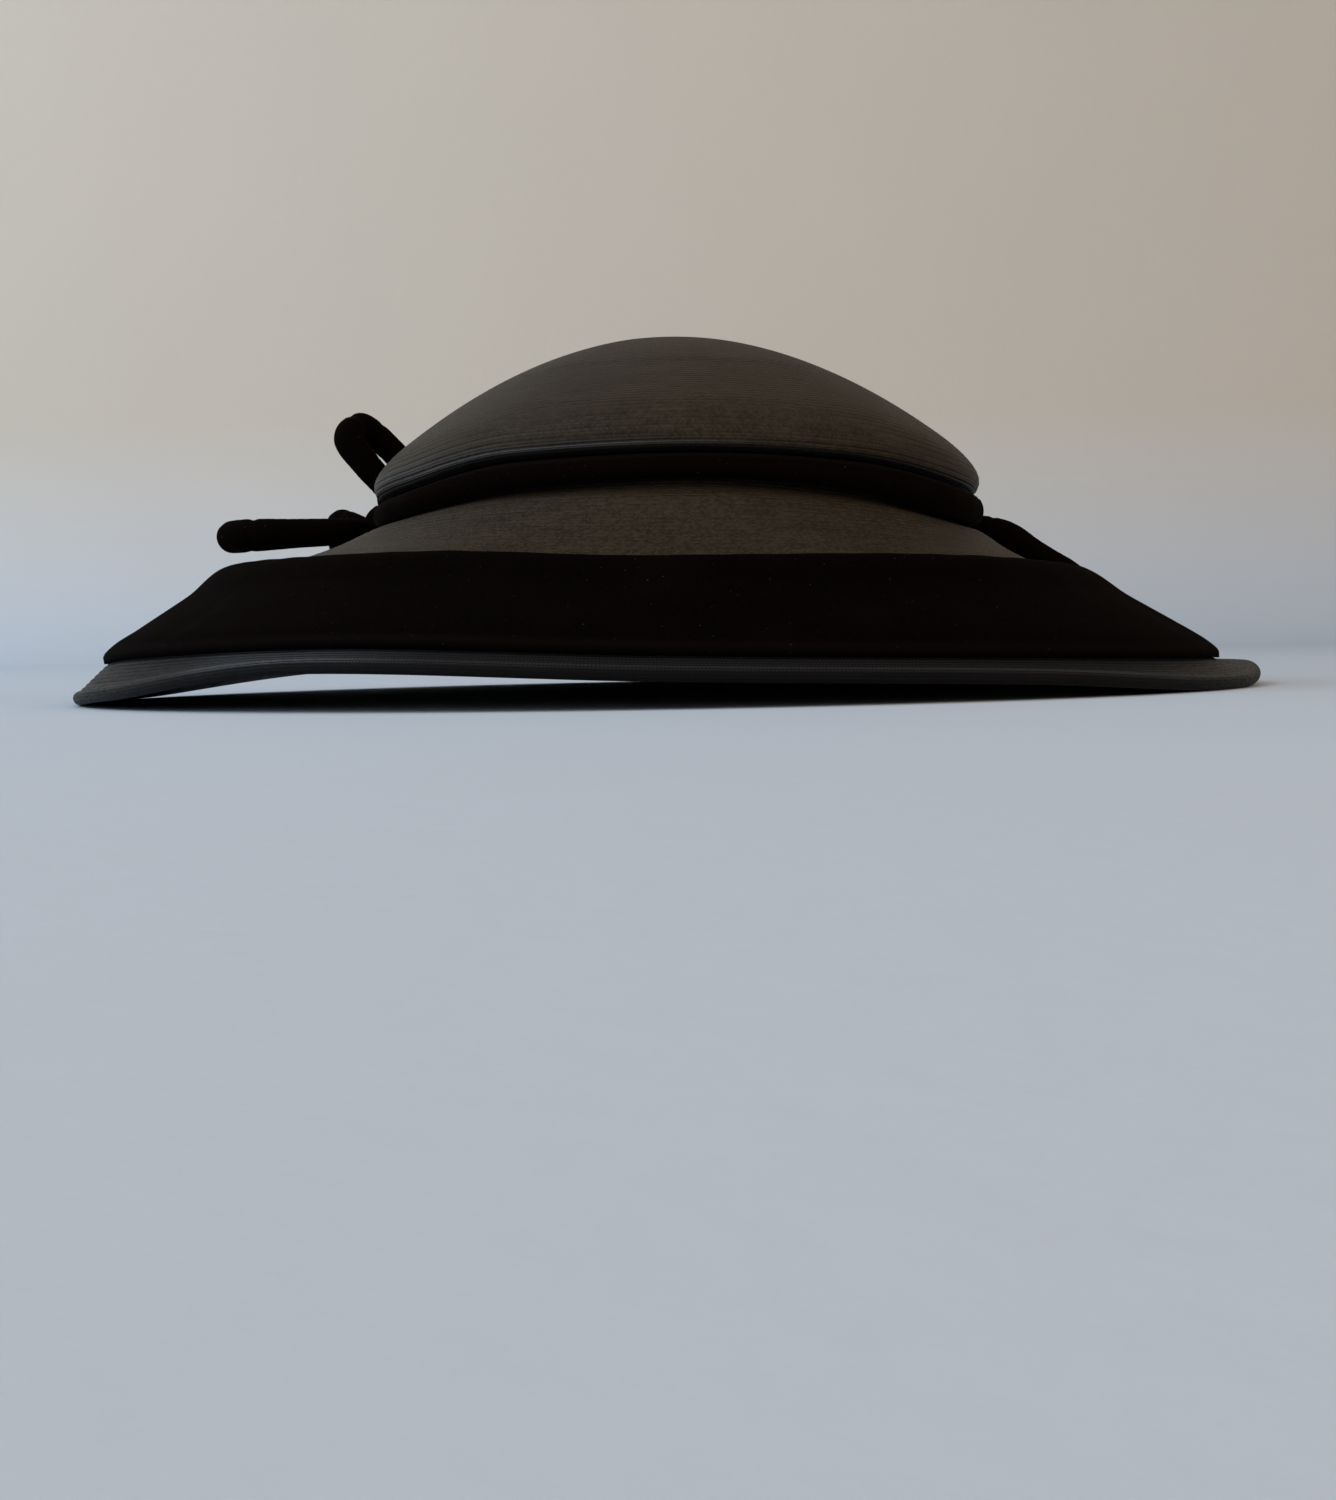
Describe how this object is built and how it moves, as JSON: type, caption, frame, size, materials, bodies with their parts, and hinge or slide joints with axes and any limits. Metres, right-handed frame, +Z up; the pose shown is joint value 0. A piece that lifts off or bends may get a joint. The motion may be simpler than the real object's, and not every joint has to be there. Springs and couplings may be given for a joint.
{
  "type": "wide-brim hat",
  "caption": "Wide-brim dress hat: shallow domed straw crown over a sloping straw brim, with a wide velvet brim band and a padded velvet crown band tied in a bow.",
  "frame": {"origin": "on the ground, under the middle of the brim's outline", "axes": "+Z up; -Y towards the front of the hat; -X towards the side that carries the bow"},
  "size_m": [0.3656, 0.374, 0.11],
  "materials": {
    "straw_crown": "fine woven straw, dyed charcoal and lightly varnished",
    "straw_brim": "fine woven straw, dyed charcoal and lightly varnished",
    "velvet_brim": "black pile velvet, bias cut",
    "velvet_rouleau": "black pile velvet over a soft cord"
  },
  "bodies": {
    "root": {"crown": "straw_crown", "brim": "straw_brim", "brim_velvet_band": "velvet_brim", "crown_band": "velvet_rouleau", "bow_knot": "velvet_rouleau", "bow_loop_upper": "velvet_rouleau", "bow_loop_left": "velvet_rouleau", "bow_tail_back": "velvet_rouleau", "band_tail": "velvet_rouleau"}
  },
  "joints": []
}
